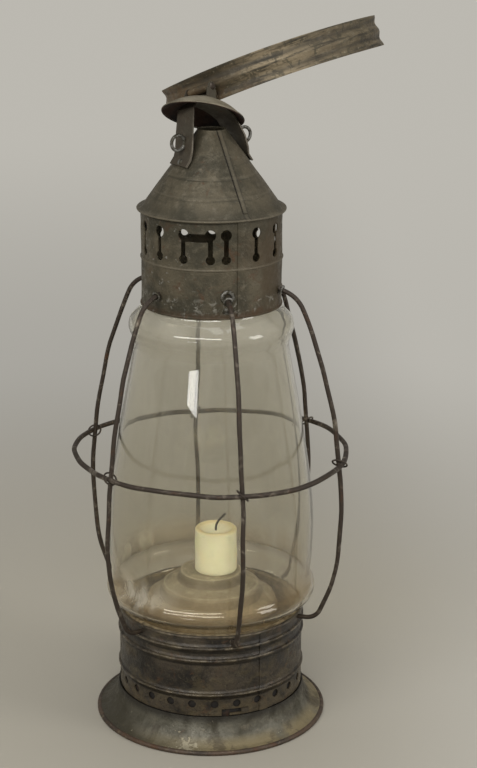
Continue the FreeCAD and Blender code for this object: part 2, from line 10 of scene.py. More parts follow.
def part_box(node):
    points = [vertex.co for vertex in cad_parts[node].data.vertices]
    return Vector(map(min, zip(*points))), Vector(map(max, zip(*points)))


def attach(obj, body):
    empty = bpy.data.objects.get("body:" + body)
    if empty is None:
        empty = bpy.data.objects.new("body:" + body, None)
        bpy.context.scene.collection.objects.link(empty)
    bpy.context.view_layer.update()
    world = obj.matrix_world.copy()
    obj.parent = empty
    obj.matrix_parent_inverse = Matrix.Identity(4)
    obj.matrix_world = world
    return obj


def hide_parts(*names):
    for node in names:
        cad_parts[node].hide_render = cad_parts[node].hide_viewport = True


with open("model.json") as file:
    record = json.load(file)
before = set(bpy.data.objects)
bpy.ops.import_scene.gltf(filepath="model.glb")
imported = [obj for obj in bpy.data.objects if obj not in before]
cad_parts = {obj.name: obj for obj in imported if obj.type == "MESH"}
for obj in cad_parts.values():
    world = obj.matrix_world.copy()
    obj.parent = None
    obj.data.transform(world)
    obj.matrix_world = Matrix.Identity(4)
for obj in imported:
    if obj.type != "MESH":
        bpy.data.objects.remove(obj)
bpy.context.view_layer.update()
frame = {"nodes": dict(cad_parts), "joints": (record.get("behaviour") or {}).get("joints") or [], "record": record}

bl_info = {
    "name": "Candle Lantern",
    "version": (1, 0, 0),
    "blender": (4, 5, 0),
    "location": "3D View > Sidebar > Lantern",
    "description": "Dresses the packed candle lantern with worn tin, iron wire, glass and wax",
    "category": "Object",
}

NODES = frame["nodes"]
MM = 0.001
FULL_TURN = 2 * math.pi

# The handle's frame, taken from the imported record
SWING = next(j for j in frame["joints"] if j["name"] == "handle_swing")
MOUNTS = {m["name"]: m for m in frame["record"]["mounts"]}
HINGE_AXIS = Vector(SWING["axis"]).normalized()
RING_CENTRE = Vector(MOUNTS["hand_ring"]["pos_m"])
RING_NORMAL = Vector(MOUNTS["hand_ring"]["axis"]).normalized()

# Places of the lines painted on the pieces, in metres: wear, rust, lime, painted shade and painted highlights;
# heights up the hood and the drum, and radii on the tray.
# A pair is the middle of a line and its half width.
HOOD_CREASES = (0.3806, 0.3925)
HOOD_LIP = (0.3690, 0.0011)
BAND_EDGE = (0.3045, 0.0042)
BAND_LIME = (0.3110, 0.0080)
BAND_RIDGE = (0.336, 0.0022)
# Bare tin with painted highlights along the drum's beads
DRUM_BEADS = ((0.038, 0.0017), (0.064, 0.0019), (0.073, 0.0019), (0.0815, 0.0016))
DRUM_ROLLS = ((0.038, 0.0036), (0.064, 0.0040), (0.073, 0.0040))
# Painted shade in the hollows under the drum's beads
DRUM_HOLLOW_SHADE = ((0.0352, 0.0014), (0.0612, 0.0014), (0.0700, 0.0013))
# Darker in the tray's corners
TRAY_CREVICES = ((0.0365, 0.0022), (0.0232, 0.0020), (0.0464, 0.0030))
# Painted highlights along the edges of the tray's steps
TRAY_EDGES = ((0.0332, 0.0012), (0.0212, 0.0010))
# Painted shade in the handle's flute valleys and along its edges
HANDLE_VALLEYS = (0.0054, 0.0027)
HANDLE_EDGES = (0.01075, 0.0010)

# The hood's cone: its seam's place round the axis, its radius if it went on down to the floor, and its taper
HOOD_SEAM_TURN = math.radians(30.0)
HOOD_FLOOR_RADIUS = 0.3165
HOOD_TAPER = 0.7265

# Direction across the cap's strap, and the line of the painted highlight along its front edge
STRAP_ACROSS = (-0.5736, 0.8192, 0.0)
STRAP_EDGE = (-0.0095, 0.0011)

# Photograph's frame, and the camera fitted to the rims in it
FRAME_HEIGHT_PX = 768
FOCAL_PX = 1884.0
CAMERA_PLACE = Vector((0.0189, -1.2529, 0.6248))
CAMERA_PITCH = math.radians(16.9)
CAMERA_ROLL = math.radians(0.36)


def colour(name, description, default):
    return FloatVectorProperty(name=name, description=description, default=default, size=3,
                               subtype="COLOR", min=0.0, max=1.0)


def length(name, description, default):
    return FloatProperty(name=name, description=description, default=default,
                         unit="LENGTH", subtype="DISTANCE")


class LanternSizes(bpy.types.PropertyGroup):
    """Sizes of the dressed pieces that a user would change"""
    spin_steps: IntProperty(name="Steps round", description="Faces round a spun piece", default=192)
    tin_dent: length("Tin dents", "Depth of the dents in the tin", 0.00045)
    handle_bow: length("Handle bow", "How far the ring handle is bent out of flat", 0.0036)
    handle_dent: length("Handle dents", "Depth of the dents in the ring handle", 0.0009)
    glass_wall: length("Glass wall", "Thickness of the globe", 0.0024)
    sheet: length("Sheet", "Thickness of the tin", 0.0009)
    hook_wire: length("Hook wire", "Radius of the wire of the mended front hook", 0.00125)
    wire_wave: length("Wire wave", "How far the cage wires wander", 0.0022)


class LanternColours(bpy.types.PropertyGroup):
    """Colours of the finishes"""
    hood_mid: colour("Hood tin", "Aged tin of the hood", (0.108, 0.091, 0.059))
    # Also painted shade in the hood's creases and on the left of the foot
    hood_dark: colour("Hood shade", "Darker mottling of the hood", (0.044, 0.039, 0.024))
    # Also painted highlights above the hood's creases, along its lip and along the vent band's ridge
    hood_pale: colour("Hood worn", "Pale worn places of the hood", (0.175, 0.152, 0.110))
    drum_mid: colour("Drum japan", "Worn dark japan of the drum", (0.062, 0.049, 0.034))
    # Also painted shade in the hollows under the drum's beads and on the foot just under the drum
    drum_dark: colour("Drum shade", "Darkest places of the drum", (0.011, 0.009, 0.007))
    # Bare tin with a painted highlight along the beads
    drum_pale: colour("Drum worn", "Bare tin on the beads", (0.270, 0.225, 0.155))
    foot_mid: colour("Foot tin", "Olive grey of the foot", (0.150, 0.142, 0.112))
    foot_stain: colour("Foot stain", "Ochre staining toward the brim", (0.250, 0.205, 0.115))
    handle_mid: colour("Handle tin", "Brown olive of the ring handle", (0.158, 0.130, 0.080))
    # Also painted shade in the handle's flute valleys and along its edges
    handle_dark: colour("Handle streaks", "Dark streaks on the ring handle", (0.030, 0.026, 0.019))
    cap_mid: colour("Cap tin", "Pale grey tan of the smoke cap", (0.225, 0.200, 0.145))
    soot: colour("Soot", "Sooty underside", (0.012, 0.010, 0.009))
    rust: colour("Rust", "Rust", (0.085, 0.040, 0.018))
    iron: colour("Iron", "Cage wire", (0.046, 0.034, 0.025))
    # Also the painted highlight along the strap's front edge
    iron_worn_and_highlight: colour("Worn iron", "Rubbed cage wire", (0.20, 0.172, 0.135))
    wax: colour("Wax", "Candle wax", (0.94, 0.92, 0.66))
    rim: colour("Rim", "Brown iron of the foot's edge", (0.092, 0.062, 0.042))
    edge_rust: colour("Edge rust", "Rust along the lower edge of the vent band", (0.070, 0.040, 0.020))
    # A brown stain with painted shade on the right of the vent band
    band_brown_and_shade: colour("Band brown", "Brown right side of the vent band", (0.072, 0.050, 0.026))
    band_lime: colour("Band lime", "Pale deposit low on the vent band", (0.33, 0.32, 0.28))
    band_chips: colour("Band chips", "Pale chips on the left of the vent band", (0.30, 0.29, 0.26))
    drum_dirt: colour("Drum dirt", "Dirt along the row of air holes", (0.100, 0.077, 0.043))
    drum_ochre: colour("Drum ochre", "Ochre patches on the drum", (0.105, 0.082, 0.043))
    foot_flakes: colour("Foot flakes", "Pale flakes on the front of the foot", (0.40, 0.36, 0.26))
    handle_shade: colour("Handle shade", "Darker clouds on the ring handle", (0.105, 0.082, 0.050))
    handle_tan: colour("Handle tan", "Tan between the streaks", (0.29, 0.235, 0.150))
    # The rubbed middle of the handle, with painted light
    handle_rubbed_and_lit: colour("Handle rubbed", "Rubbed middle of the ring handle", (0.30, 0.240, 0.155))
    handle_smoke: colour("Handle smoke", "Smoked stretch over the cap", (0.060, 0.043, 0.024))
    handle_mould: colour("Handle mould", "Dark mottling of the ring handle", (0.050, 0.045, 0.029))
    handle_flecks: colour("Handle flecks", "Pale flecks on the ring handle", (0.30, 0.27, 0.19))
    handle_rust: colour("Handle rust", "Rusty low end of the ring handle", (0.125, 0.072, 0.030))
    red_soot: colour("Red soot", "Reddish soot under the cap", (0.050, 0.024, 0.016))
    strap_mid: colour("Strap tin", "Dark tin of the strap", (0.070, 0.062, 0.044))
    tray_mid: colour("Tray tin", "Tan tin of the candle tray", (0.33, 0.285, 0.20))
    tray_shade: colour("Tray shade", "Darker clouds on the tray", (0.20, 0.168, 0.112))
    tray_pale: colour("Tray worn", "Pale worn places of the tray", (0.50, 0.45, 0.34))
    # Painted highlights on the edges of the tray's steps
    tray_edge: colour("Tray edges", "Bright edges of the tray's steps", (0.52, 0.47, 0.36))
    # Darker in the tray's corners
    tray_corner_dark: colour("Tray grime", "Grime in the tray's corners", (0.095, 0.072, 0.042))
    tray_stain: colour("Tray stain", "Brown stain toward the glass", (0.13, 0.078, 0.032))
    wire_grey: colour("Soft wire", "Grey mending wire and rivets", (0.20, 0.195, 0.18))
    wax_pale: colour("Pale wax", "Palest clouds of the wax", (0.97, 0.95, 0.74))
    wax_melt: colour("Melted wax", "Melted top of the candle", (0.56, 0.44, 0.21))
    wick_char: colour("Wick char", "Burnt wick", (0.018, 0.015, 0.012))
    wick_ash: colour("Wick ash", "Ash on the wick", (0.105, 0.088, 0.068))
    plaster: colour("Plaster", "Stained plaster", (0.27, 0.22, 0.145))
    plaster_shade: colour("Plaster shade", "Dark stains in the plaster", (0.10, 0.075, 0.045))
    film_dust: colour("Dust film", "Dust on the glass", (0.50, 0.48, 0.41))
    film_smoke: colour("Smoke film", "Brown film low on the glass", (0.31, 0.225, 0.115))
    # A whitish deposit with a painted reflection, low on the left of the glass
    film_lime_and_reflection: colour("Lime film", "Pale smears at the lower left of the glass", (0.66, 0.62, 0.52))
    glass: colour("Glass", "Tint of the old glass", (0.83, 0.81, 0.735))
    backdrop: colour("Backdrop", "Floor and backdrop", (0.50, 0.482, 0.437))


# Shader maths: a wrapped socket takes part in Python arithmetic

class Value:
    """A shader socket that adds Math nodes when it is used in an expression."""

    def __init__(self, finish, socket):
        self.finish = finish
        self.socket = socket

    def _math(self, operation, first, second, clamp=False):
        return self.finish.add("ShaderNodeMath", {"operation": operation, "use_clamp": clamp},
                               {0: first, 1: second})

    def __add__(self, other):
        return self._math("ADD", self, other)

    __radd__ = __add__

    def __sub__(self, other):
        return self._math("SUBTRACT", self, other)

    def __rsub__(self, other):
        return self._math("SUBTRACT", other, self)

    def __mul__(self, other):
        return self._math("MULTIPLY", self, other)

    __rmul__ = __mul__

    def __abs__(self):
        return self._math("ABSOLUTE", self, 0.0)

    def clamped(self):
        return self._math("ADD", self, 0.0, True)


class Finish:
    """A material under construction: nodes, ramps, mixes and the closing shader."""

    def __init__(self, name):
        self.material = bpy.data.materials.new(name)
        self.material.use_nodes = True
        self.tree = self.material.node_tree
        self.tree.nodes.clear()
        self.out = self.tree.nodes.new("ShaderNodeOutputMaterial")
        self.place = self.add("ShaderNodeTexCoord", {}, {}, "Object")

    def add(self, kind, settings, inputs, output=0):
        """Adds one node: its settings first, then the values or links of its sockets."""
        node = self.tree.nodes.new(kind)
        for key, value in settings.items():
            setattr(node, key, value)
        for key, value in inputs.items():
            if isinstance(value, Value):
                self.tree.links.new(value.socket, node.inputs[key])
            else:
                node.inputs[key].default_value = value
        return Value(self, node.outputs[output])

    def noise(self, scale, detail=4.0, rough=0.55, warp=0.0, stretch=None, shift=(0, 0, 0), place=None):
        """Noise over the piece; a shift gives another draw of it, and a stretch lays it in streaks."""
        place = place or self.place
        if stretch or any(shift):
            place = self.add("ShaderNodeMapping", {}, {"Vector": place, "Location": shift,
                                                       "Scale": stretch or (1, 1, 1)})
        return self.add("ShaderNodeTexNoise", {}, {"Vector": place, "Scale": scale, "Detail": detail,
                                                   "Roughness": rough, "Distortion": warp})

    def step(self, value, low, high, to_low=0.0, to_high=1.0):
        """A smooth step from to_low at low to to_high at high."""
        return self.add("ShaderNodeMapRange", {"interpolation_type": "SMOOTHSTEP"},
                        {0: value, 1: low, 2: high, 3: to_low, 4: to_high})

    def mix(self, factor, first, second):
        """Mixes two colours, each a colour or a socket."""
        inputs = {0: factor, 6: self._rgba(first), 7: self._rgba(second)}
        return self.add("ShaderNodeMix", {"data_type": "RGBA"}, inputs, 2)

    @staticmethod
    def _rgba(value):
        return value if isinstance(value, Value) else (*value, 1.0)

    def axis(self, index):
        return self.add("ShaderNodeSeparateXYZ", {}, {0: self.place}, index)

    def normal_axis(self, index):
        geometry = self.add("ShaderNodeNewGeometry", {}, {}, "Normal")
        return self.add("ShaderNodeSeparateXYZ", {}, {0: geometry}, index)

    def near(self, value, centre, width):
        """1 at centre, falling to 0 at width from it."""
        return self.step(abs(value - centre), 0.0, width, 1.0, 0.0)

    def lines(self, value, places):
        """Adds up one soft line for each pair of a middle and a half width."""
        total = self.near(value, *places[0])
        for place in places[1:]:
            total = total + self.near(value, *place)
        return total

    def dot(self, vector, way):
        """How far a vector reaches along a direction."""
        return self.add("ShaderNodeVectorMath", {"operation": "DOT_PRODUCT"}, {0: vector, 1: tuple(way)},
                        "Value")

    def reach(self, vector):
        """The length of a vector."""
        return self.add("ShaderNodeVectorMath", {"operation": "LENGTH"}, {0: vector}, "Value")

    def turn(self, up, along):
        """The angle of a place round a centre, from two lengths."""
        return self.add("ShaderNodeMath", {"operation": "ARCTAN2"}, {0: up, 1: along})

    def bump(self, height, strength, distance):
        return self.add("ShaderNodeBump", {}, {"Height": height, "Strength": strength, "Distance": distance})

    def close(self, constants, varying):
        """Ends in one Principled shader."""
        return self.surface(self.add("ShaderNodeBsdfPrincipled", {}, {**constants, **varying}))

    def metal(self, metallic, base, rough, bump):
        """Ends in tin or iron."""
        return self.close({"Metallic": metallic}, {"Base Color": base, "Roughness": rough, "Normal": bump})

    def surface(self, shader):
        """Ends in the shader given."""
        self.tree.links.new(shader.socket, self.out.inputs["Surface"])
        return self.material


# Finishes: each function takes the finish to build, f, and the colours, c

FINISHES = {}


def finish_of(maker):
    """Makes each finish once."""
    name = maker.__name__
    if name not in FINISHES:
        FINISHES[name] = maker(Finish(name), bpy.context.scene.lantern_colours)
    return FINISHES[name]


def mottled_tin(f, dark, mid, pale, rust, seed, worn=0.60, rusty=0.62):
    """Colour, roughness and bump of aged tin: clouds, worn flecks, rust blooms and pitting."""
    shift = (seed, seed * 0.7, seed * 0.3)
    clouds = f.noise(38.0, 7.0, 0.62, 0.5, shift=shift)
    grain = f.noise(210.0, 6.0, 0.65, shift=shift)
    flecks = f.noise(720.0, 3.0, 0.6, shift=shift)
    blooms = f.noise(85.0, 8.0, 0.7, 1.2, shift=(seed * 0.4, seed, seed))
    base = f.mix(f.step(clouds, 0.36, 0.62), dark, mid)
    base = f.mix(f.step(grain, worn - 0.08, worn + 0.16) * 0.65, base, pale)
    base = f.mix(f.step(flecks, 0.60, 0.72) * 0.35, base, pale)
    base = f.mix(f.step(flecks, 0.42, 0.32) * 0.55, base, dark)
    base = f.mix(f.step(blooms, rusty - 0.04, rusty + 0.10) * 0.7, base, rust)
    rough = f.step(grain, 0.35, 0.70, 0.66, 0.42)
    height = grain * 0.6 + clouds * 0.7 + flecks * 0.35
    return base, rough, height


def hood_tin(f, c):
    """Mottled hood with painted shade in its spun creases and painted highlights just above them and along the
    lip, a darker band above the lip, and a soldered seam.
    """
    base, rough, height = mottled_tin(f, c.hood_dark, c.hood_mid, c.hood_pale, c.rust, 1.3, 0.58)
    z = f.axis(2)
    rings = f.noise(30.0, 5.0, 0.6, stretch=(0.25, 0.25, 9.0), shift=(2, 1, 5))
    base = f.mix(f.step(rings, 0.54, 0.66) * 0.45, base, c.hood_dark)
    creases = f.lines(z, [(place, 0.0008) for place in HOOD_CREASES])
    # Painted shade: darker in patches along the spun creases
    worn = creases * f.step(f.noise(60.0, 4.0, shift=(7, 7, 1)), 0.44, 0.60)
    base = f.mix(worn.clamped() * 0.65, base, c.hood_dark)
    # Painted highlight: a pale line just above each crease
    above = f.lines(z, [(place + 0.0014, 0.0010) for place in HOOD_CREASES])
    base = f.mix(above.clamped() * 0.22, base, c.hood_pale)
    turn = f.turn(f.axis(0), f.axis(1) * -1.0)
    aside = (turn - HOOD_SEAM_TURN) * (HOOD_FLOOR_RADIUS - z * HOOD_TAPER)
    base = f.mix(f.near(aside, 0.0, 0.0016) * 0.35, base, c.hood_pale)
    base = f.mix(f.near(abs(aside), 0.0017, 0.0006) * 0.8, base, c.soot)
    # Painted highlight: a pale line along the lip
    base = f.mix(f.near(z, *HOOD_LIP) * 0.6, base, c.hood_pale)
    grime = f.step(z, 0.380, 0.371) * f.step(z, 0.3695, 0.3715) * 0.55
    base = f.mix(grime, base, c.hood_dark)
    return f.metal(0.35, base, rough, f.bump(height - creases * 0.4, 0.6, 0.0013))


def band_tin(f, c):
    """Vent band: browner and darker to the right, a brown stain with painted shade; chipped to the left, rust and
    lime along its lower edge, and a painted highlight along its ridge.
    """
    base, rough, height = mottled_tin(f, c.hood_dark, c.hood_mid, c.hood_pale, c.rust, 4.1, 0.60, 0.58)
    x = f.axis(0)
    z = f.axis(2)
    # Brown stain with painted shade, to the right
    brown = f.step(x, 0.010, 0.040) * f.step(f.noise(34.0, 5.0, shift=(6, 1, 3)), 0.36, 0.58)
    base = f.mix(brown * 0.75, base, c.band_brown_and_shade)
    line = f.near(z, *BAND_EDGE) * f.step(f.noise(120.0, 6.0), 0.34, 0.54)
    base = f.mix(line.clamped() * 0.65, base, c.edge_rust)
    crust = f.step(f.noise(190.0, 6.0, 0.65, 0.8, shift=(8, 3, 3)), 0.54, 0.64)
    base = f.mix(f.near(z, *BAND_LIME) * crust * 0.65, base, c.band_lime)
    chips = f.step(f.noise(270.0, 4.0, 0.6, shift=(5, 5, 9)), 0.62, 0.68) * f.step(x, 0.0, -0.03)
    base = f.mix(chips * 0.6, base, c.band_chips)
    base = f.mix(f.step(z, 0.350, 0.368) * 0.45, base, c.hood_dark)
    # Painted highlight along the ridge
    base = f.mix(f.near(z, *BAND_RIDGE) * 0.40, base, c.hood_pale)
    return f.metal(0.35, base, rough, f.bump(height + chips * 0.3, 0.6, 0.0013))


def drum_tin(f, c):
    """Worn japan on the drum: beads bare and with painted highlights, painted shade in the hollows under them,
    black glossy patches and dirt.
    """
    base, rough, height = mottled_tin(f, c.drum_dark, c.drum_mid, c.hood_mid, c.rust, 7.7, 0.63, 0.58)
    z = f.axis(2)
    black = f.step(f.noise(44.0, 6.0, 0.65, 1.0, shift=(1, 6, 2)), 0.52, 0.62)
    base = f.mix(black * 0.7, base, c.drum_dark)
    # Bare tin with painted highlights along the beads
    bead_wear_and_highlight = f.lines(z, DRUM_BEADS) * f.step(f.noise(110.0, 6.0, 0.65, shift=(3, 1, 2)), 0.40, 0.66)
    worn = bead_wear_and_highlight.clamped()
    base = f.mix(worn * 0.60, base, c.drum_pale)
    rolls = f.lines(z, DRUM_ROLLS)
    dirt = f.step(z, 0.039, 0.026) * f.step(f.noise(95.0, 6.0, shift=(5, 2, 1)), 0.34, 0.58)
    base = f.mix(dirt * 0.7, base, c.drum_dirt)
    ochre = f.step(f.noise(60.0, 6.0, 0.65, 0.8, shift=(2, 7, 4)), 0.50, 0.64)
    base = f.mix(ochre * 0.4, base, c.drum_ochre)
    # Painted shade in the hollows under the beads
    base = f.mix(f.lines(z, DRUM_HOLLOW_SHADE).clamped() * 0.75, base, c.drum_dark)
    grit = f.step(f.noise(480.0, 5.0, 0.7, shift=(6, 6, 1)), 0.55, 0.64)
    base = f.mix(grit * 0.55, base, c.drum_dark)
    scrape = f.step(f.noise(150.0, 7.0, 0.7, 1.5, shift=(7, 2, 9)), 0.58, 0.66)
    base = f.mix(scrape * 0.5, base, c.hood_mid)
    return f.close({"Metallic": 0.30, "Coat Roughness": 0.28},
                   {"Base Color": base, "Roughness": rough - 0.14 - worn * 0.08,
                    "Coat Weight": black * 0.3, "Normal": f.bump(height + rolls * 1.6, 0.8, 0.0014)})


def foot_tin(f, c):
    """Olive grey foot, stained toward the brim, with painted shade to the left and just under the drum, and pale
    flakes at the front.
    """
    base, rough, height = mottled_tin(f, c.hood_dark, c.foot_mid, c.hood_pale, c.rust, 2.9, 0.60, 0.66)
    x = f.axis(0)
    y = f.axis(1)
    z = f.axis(2)
    brim = f.step(z, 0.0105, 0.0030) * f.step(f.noise(46.0, 5.0, shift=(1, 4, 2)), 0.26, 0.52)
    base = f.mix(brim * f.step(x, -0.055, 0.02, 0.25, 0.95), base, c.foot_stain)
    # Painted shade on the left of the foot
    shade = f.step(x, -0.035, -0.065) * f.step(f.noise(40.0, 5.0, shift=(3, 3, 8)), 0.20, 0.50)
    base = f.mix(shade * 0.9, base, c.hood_dark)
    drips = f.noise(70.0, 6.0, 0.65, 0.6, stretch=(1.0, 1.0, 0.3), shift=(4, 9, 1))
    base = f.mix(f.step(drips, 0.54, 0.66) * 0.6, base, c.drum_mid)
    patch = f.near(x, -0.0165, 0.019) * f.near(y, -0.0755, 0.011)
    flakes = f.step(f.noise(300.0, 5.0, 0.65, shift=(9, 9, 4)) + patch * 0.22, 0.66, 0.72)
    base = f.mix(flakes * 0.75, base, c.foot_flakes)
    # Painted shade on the foot just under the drum
    base = f.mix(f.step(z, 0.0150, 0.0215) * 0.75, base, c.drum_dark)
    return f.metal(0.35, base, rough - 0.05, f.bump(height + flakes * 0.4, 0.55, 0.0012))


def rim_iron(f, c):
    """Brown wired edge of the foot."""
    base, rough, height = mottled_tin(f, c.iron, c.rim, c.foot_stain, c.rust, 6.2, 0.62, 0.56)
    return f.metal(0.3, base, rough, f.bump(height, 0.5, 0.0008))


def handle_tin(f, c):
    """Ring handle with streaks laid round the ring, painted shade in its valleys and along its edges, and a rubbed
    middle with painted light.
    """
    base, rough, height = mottled_tin(f, c.handle_shade, c.handle_mid, c.hood_pale, c.rust, 8.8, 0.60, 0.68)
    out = f.add("ShaderNodeVectorMath", {"operation": "SUBTRACT"}, {0: f.place, 1: tuple(RING_CENTRE)})
    along = f.dot(out, HINGE_AXIS)
    aside = f.dot(out, RING_NORMAL.cross(HINGE_AXIS))
    across = f.dot(out, RING_NORMAL)
    laid = f.add("ShaderNodeCombineXYZ", {}, {0: f.turn(aside, along), 1: across * 150.0, 2: 0.0})
    streak = f.noise(2.4, 9.0, 0.68, place=laid)
    fine = f.noise(11.0, 5.0, 0.6, place=laid)
    base = f.mix(f.step(streak, 0.47, 0.62) * 0.85, base, c.handle_dark)
    base = f.mix(f.step(fine, 0.56, 0.68) * 0.55, base, c.handle_dark)
    base = f.mix(f.step(streak, 0.44, 0.34) * 0.65, base, c.handle_tan)
    # Rubbed middle with painted light
    rubbed = f.near(along, 0.050, 0.034) * f.step(streak, 0.62, 0.46)
    base = f.mix(rubbed * 0.75, base, c.handle_rubbed_and_lit)
    base = f.mix(f.near(along, 0.006, 0.030) * 0.60, base, c.handle_smoke)
    mould = f.noise(150.0, 7.0, 0.7, 1.0, shift=(2, 8, 5))
    base = f.mix(f.step(mould, 0.51, 0.60) * 0.7, base, c.handle_mould)
    flecks = f.noise(420.0, 4.0, 0.6, shift=(7, 1, 1))
    base = f.mix(f.step(flecks, 0.62, 0.70) * 0.5, base, c.handle_flecks)
    # Painted shade in the flute valleys and along the edges
    base = f.mix(f.near(abs(across), *HANDLE_VALLEYS) * 0.62, base, c.handle_dark)
    base = f.mix(f.near(abs(across), *HANDLE_EDGES) * 0.45, base, c.handle_dark)
    low = f.step(f.axis(2), 0.458, 0.440) * f.step(f.noise(60.0, 5.0, shift=(4, 4, 1)), 0.36, 0.58)
    base = f.mix(low * 0.6, base, c.handle_rust)
    return f.metal(0.35, base, rough, f.bump(height + streak * 0.6, 0.55, 0.0013))


def cap_tin(f, c):
    """Pale smoke cap, sooty on its underside."""
    base, rough, height = mottled_tin(f, c.hood_mid, c.cap_mid, c.hood_pale, c.rust, 5.5, 0.58, 0.68)
    under = f.step(f.normal_axis(2), 0.05, -0.25)
    sooty = f.mix(f.step(f.noise(70.0, 5.0, shift=(2, 2, 2)), 0.40, 0.62), c.soot, c.red_soot)
    base = f.mix(under, base, sooty)
    return f.metal(0.25, base, rough + under * 0.25, f.bump(height, 0.45, 0.0009))


def strap_tin(f, c):
    """Dark strap with a painted highlight along its front edge."""
    base, rough, height = mottled_tin(f, c.drum_mid, c.strap_mid, c.hood_mid, c.rust, 3.4, 0.60, 0.64)
    across = f.dot(f.place, STRAP_ACROSS)
    # Painted highlight along the front edge
    base = f.mix(f.near(across, *STRAP_EDGE) * 0.6, base, c.iron_worn_and_highlight)
    return f.metal(0.35, base, rough, f.bump(height, 0.5, 0.0009))


def sooty_tin(f, c):
    """Dull black tin inside the drum."""
    base, rough, height = mottled_tin(f, c.soot, c.drum_dark, c.drum_mid, c.rust, 1.9, 0.66, 0.62)
    return f.metal(0.2, base, rough + 0.2, f.bump(height, 0.5, 0.0009))


def tray_tin(f, c):
    """Tan tray, darker in its corners, with painted highlights along the edges of its steps and a brown stain at
    the glass.
    """
    base, rough, height = mottled_tin(f, c.tray_shade, c.tray_mid, c.tray_pale, c.rust, 9.1, 0.58, 0.64)
    flat = f.add("ShaderNodeVectorMath", {"operation": "MULTIPLY"}, {0: f.place, 1: (1.0, 1.0, 0.0)})
    reach = f.reach(flat)
    # Darker in the tray's corners
    base = f.mix(f.lines(reach, TRAY_CREVICES).clamped() * 0.65, base, c.tray_corner_dark)
    # Painted highlights on the edges of the steps
    base = f.mix(f.lines(reach, TRAY_EDGES).clamped() * 0.5, base, c.tray_edge)
    spread = f.step(f.noise(45.0, 6.0, 0.65, 0.8, shift=(3, 3, 7)), 0.36, 0.56)
    base = f.mix(f.step(reach, 0.040, 0.052) * spread * 0.8, base, c.tray_stain)
    return f.metal(0.25, base, rough, f.bump(height, 0.5, 0.0010))


def cage_iron(f, c):
    """Dark cage wire, rubbed and rusty in places."""
    patch = f.noise(120.0, 7.0, 0.68, 0.6)
    fine = f.noise(900.0, 4.0, 0.6)
    base = f.mix(f.step(patch, 0.52, 0.70), c.iron, c.iron_worn_and_highlight)
    base = f.mix(f.step(f.noise(75.0, 6.0, 0.7, shift=(3, 5, 1)), 0.56, 0.68) * 0.7, base, c.rust)
    base = f.mix(f.step(fine, 0.44, 0.34) * 0.6, base, c.soot)
    rough = f.step(patch, 0.40, 0.70, 0.62, 0.38)
    return f.metal(0.45, base, rough, f.bump(fine + patch, 0.5, 0.0005))


def grey_wire(f, c):
    """Grey soft wire, rivets and solder."""
    patch = f.noise(260.0, 6.0, 0.65)
    base = f.mix(f.step(patch, 0.42, 0.62), c.hood_dark, c.wire_grey)
    return f.metal(0.5, base, f.step(patch, 0.3, 0.7, 0.6, 0.36), f.bump(patch, 0.4, 0.0004))


def candle_wax(f, c):
    """Cream wax, browner where the top has melted."""
    clouds = f.noise(70.0, 4.0)
    base = f.mix(f.step(clouds, 0.35, 0.68), c.wax, c.wax_pale)
    base = f.mix(f.step(f.axis(2), 0.1352, 0.1383) * 0.75, base, c.wax_melt)
    return f.close({"Subsurface Weight": 0.25, "Subsurface Radius": (0.012, 0.008, 0.004),
                    "Subsurface Scale": 0.6},
                   {"Base Color": base, "Roughness": f.step(clouds, 0.3, 0.7, 0.46, 0.60),
                    "Normal": f.bump(f.noise(330.0, 4.0) + clouds, 0.25, 0.0006)})


def burnt_wick(f, c):
    """Charred wick with a little ash."""
    char = f.noise(1400.0, 4.0)
    base = f.mix(f.step(char, 0.4, 0.65), c.wick_char, c.wick_ash)
    return f.close({}, {"Base Color": base, "Roughness": f.step(char, 0.2, 0.8, 0.95, 0.8),
                        "Normal": f.bump(char, 0.7, 0.0004)})


def stained_plaster(f, c):
    """Plaster that beds the glass, stained brown."""
    grain = f.noise(240.0, 6.0, 0.6)
    base = f.mix(f.step(grain, 0.35, 0.65), c.plaster_shade, c.plaster)
    return f.close({}, {"Base Color": base, "Roughness": f.step(grain, 0.3, 0.7, 0.95, 0.75),
                        "Normal": f.bump(grain, 0.6, 0.0010)})


